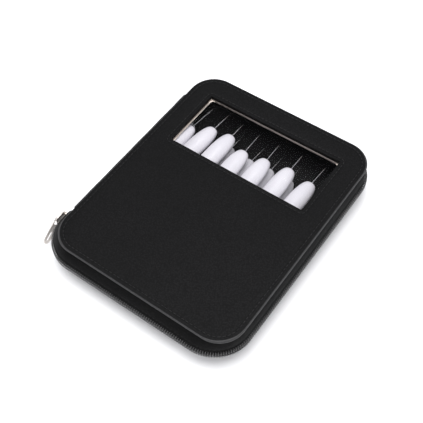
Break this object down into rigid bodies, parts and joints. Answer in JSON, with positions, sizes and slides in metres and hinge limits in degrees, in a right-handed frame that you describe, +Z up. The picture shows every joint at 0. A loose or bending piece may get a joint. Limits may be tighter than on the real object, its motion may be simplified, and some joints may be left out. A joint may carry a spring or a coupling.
{
  "type": "interchangeable needle set in a zip case",
  "caption": "Black zip-around case with a clear window over two rows of white handles, each holding a slim steel needle that pulls out.",
  "frame": {"origin": "centre of the back cover's underside, where the closed case rests", "axes": "+X to the long side that opens, +Y to the end with the window, +Z up through the front cover"},
  "size_m": [0.172, 0.2021, 0.032],
  "materials": {
    "leather": "satin",
    "lining": "matte",
    "zip_tape": "matte",
    "zip_coil": "satin",
    "elastic": "matte",
    "zip_metal": "satin",
    "rim_metal": "satin",
    "clear_film": "gloss",
    "handle_plastic": "gloss",
    "needle_steel": "gloss"
  },
  "bodies": {
    "back_half": {"back_cover": "leather", "back_lining": "lining", "lower_gusset": "leather", "lower_zip_tape": "zip_tape", "lower_zip_coil": "zip_coil", "lower_far_stop": "zip_metal", "lower_band_window_end": "elastic", "lower_band_butt_end": "elastic"},
    "front_half": {"front_cover": "leather", "front_lining": "lining", "window_rim": "rim_metal", "window_film": "clear_film", "upper_gusset": "leather", "upper_zip_tape": "zip_tape", "upper_zip_coil": "zip_coil", "upper_far_stop": "zip_metal", "upper_band_window_end": "elastic", "upper_band_butt_end": "elastic"},
    "spine": {"spine_panel": "leather"},
    "slider": {"slider_body": "zip_metal"},
    "pull": {"pull_tab": "zip_metal"},
    "upper_tool_1": {"upper_handle_1": "handle_plastic"},
    "upper_point_1": {"upper_needle_1": "needle_steel"},
    "upper_tool_2": {"upper_handle_2": "handle_plastic"},
    "upper_point_2": {"upper_needle_2": "needle_steel"},
    "upper_tool_3": {"upper_handle_3": "handle_plastic"},
    "upper_point_3": {"upper_needle_3": "needle_steel"},
    "upper_tool_4": {"upper_handle_4": "handle_plastic"},
    "upper_point_4": {"upper_needle_4": "needle_steel"},
    "upper_tool_5": {"upper_handle_5": "handle_plastic"},
    "upper_point_5": {"upper_needle_5": "needle_steel"},
    "upper_tool_6": {"upper_handle_6": "handle_plastic"},
    "upper_point_6": {"upper_needle_6": "needle_steel"},
    "upper_tool_7": {"upper_handle_7": "handle_plastic"},
    "upper_point_7": {"upper_needle_7": "needle_steel"},
    "lower_tool_1": {"lower_handle_1": "handle_plastic"},
    "lower_point_1": {"lower_needle_1": "needle_steel"},
    "lower_tool_2": {"lower_handle_2": "handle_plastic"},
    "lower_point_2": {"lower_needle_2": "needle_steel"},
    "lower_tool_3": {"lower_handle_3": "handle_plastic"},
    "lower_point_3": {"lower_needle_3": "needle_steel"},
    "lower_tool_4": {"lower_handle_4": "handle_plastic"},
    "lower_point_4": {"lower_needle_4": "needle_steel"},
    "lower_tool_5": {"lower_handle_5": "handle_plastic"},
    "lower_point_5": {"lower_needle_5": "needle_steel"}
  },
  "joints": [
    {"name": "case_opening", "type": "hinge", "parent": "back_half", "child": "front_half", "pos_m": [-0.093, 0, 0.016], "axis": [0, -1, 0], "range_deg": [0, 180]},
    {"name": "spine_fold", "type": "hinge", "parent": "back_half", "child": "spine", "pos_m": [-0.079, 0, 0.0012], "axis": [0, -1, 0], "range_deg": [0, 90]},
    {"name": "slider_travel", "type": "slide", "parent": "back_half", "child": "slider", "axis": [0, -1, 0], "range_m": [0, 0.006]},
    {"name": "pull_swing", "type": "hinge", "parent": "slider", "child": "pull", "pos_m": [-0.09035, -0.0735, 0.016], "axis": [0, -0.5446, 0.8387], "range_deg": [-30, 0]},
    {"name": "upper_tool_1_slide", "type": "slide", "parent": "front_half", "child": "upper_tool_1", "axis": [-0.1011, -0.9949, 0], "range_m": [0, 0.015]},
    {"name": "upper_needle_1_pull", "type": "slide", "parent": "upper_tool_1", "child": "upper_point_1", "axis": [0.1011, 0.9949, 0], "range_m": [0, 0.0125]},
    {"name": "upper_tool_2_slide", "type": "slide", "parent": "front_half", "child": "upper_tool_2", "axis": [-0.0785, -0.9969, 0], "range_m": [0, 0.015]},
    {"name": "upper_needle_2_pull", "type": "slide", "parent": "upper_tool_2", "child": "upper_point_2", "axis": [0.0785, 0.9969, 0], "range_m": [0, 0.0125]},
    {"name": "upper_tool_3_slide", "type": "slide", "parent": "front_half", "child": "upper_tool_3", "axis": [-0.0349, -0.9994, 0], "range_m": [0, 0.015]},
    {"name": "upper_needle_3_pull", "type": "slide", "parent": "upper_tool_3", "child": "upper_point_3", "axis": [0.0349, 0.9994, 0], "range_m": [0, 0.0125]},
    {"name": "upper_tool_4_slide", "type": "slide", "parent": "front_half", "child": "upper_tool_4", "axis": [-0.0017, -1, 0], "range_m": [0, 0.015]},
    {"name": "upper_needle_4_pull", "type": "slide", "parent": "upper_tool_4", "child": "upper_point_4", "axis": [0.0017, 1, 0], "range_m": [0, 0.0125]},
    {"name": "upper_tool_5_slide", "type": "slide", "parent": "front_half", "child": "upper_tool_5", "axis": [0.0105, -0.9999, 0], "range_m": [0, 0.015]},
    {"name": "upper_needle_5_pull", "type": "slide", "parent": "upper_tool_5", "child": "upper_point_5", "axis": [-0.0105, 0.9999, 0], "range_m": [0, 0.0125]},
    {"name": "upper_tool_6_slide", "type": "slide", "parent": "front_half", "child": "upper_tool_6", "axis": [-0.0035, -1, 0], "range_m": [0, 0.015]},
    {"name": "upper_needle_6_pull", "type": "slide", "parent": "upper_tool_6", "child": "upper_point_6", "axis": [0.0035, 1, 0], "range_m": [0, 0.0125]},
    {"name": "upper_tool_7_slide", "type": "slide", "parent": "front_half", "child": "upper_tool_7", "axis": [-0.0471, -0.9989, 0], "range_m": [0, 0.015]},
    {"name": "upper_needle_7_pull", "type": "slide", "parent": "upper_tool_7", "child": "upper_point_7", "axis": [0.0471, 0.9989, 0], "range_m": [0, 0.0125]},
    {"name": "lower_tool_1_slide", "type": "slide", "parent": "back_half", "child": "lower_tool_1", "axis": [-0.014, -0.9999, 0], "range_m": [0, 0.015]},
    {"name": "lower_needle_1_pull", "type": "slide", "parent": "lower_tool_1", "child": "lower_point_1", "axis": [0.014, 0.9999, 0], "range_m": [0, 0.0125]},
    {"name": "lower_tool_2_slide", "type": "slide", "parent": "back_half", "child": "lower_tool_2", "axis": [-0.0506, -0.9987, 0], "range_m": [0, 0.015]},
    {"name": "lower_needle_2_pull", "type": "slide", "parent": "lower_tool_2", "child": "lower_point_2", "axis": [0.0506, 0.9987, 0], "range_m": [0, 0.0125]},
    {"name": "lower_tool_3_slide", "type": "slide", "parent": "back_half", "child": "lower_tool_3", "axis": [-0.0802, -0.9968, 0], "range_m": [0, 0.015]},
    {"name": "lower_needle_3_pull", "type": "slide", "parent": "lower_tool_3", "child": "lower_point_3", "axis": [0.0802, 0.9968, 0], "range_m": [0, 0.0125]},
    {"name": "lower_tool_4_slide", "type": "slide", "parent": "back_half", "child": "lower_tool_4", "axis": [-0.0366, -0.9993, 0], "range_m": [0, 0.015]},
    {"name": "lower_needle_4_pull", "type": "slide", "parent": "lower_tool_4", "child": "lower_point_4", "axis": [0.0366, 0.9993, 0], "range_m": [0, 0.0125]},
    {"name": "lower_tool_5_slide", "type": "slide", "parent": "back_half", "child": "lower_tool_5", "axis": [0.0262, -0.9997, 0], "range_m": [0, 0.015]},
    {"name": "lower_needle_5_pull", "type": "slide", "parent": "lower_tool_5", "child": "lower_point_5", "axis": [-0.0262, 0.9997, 0], "range_m": [0, 0.0125]}
  ],
  "couplings": [
    {"joint": "spine_fold", "follows": "case_opening", "ratio": 0.5}
  ]
}
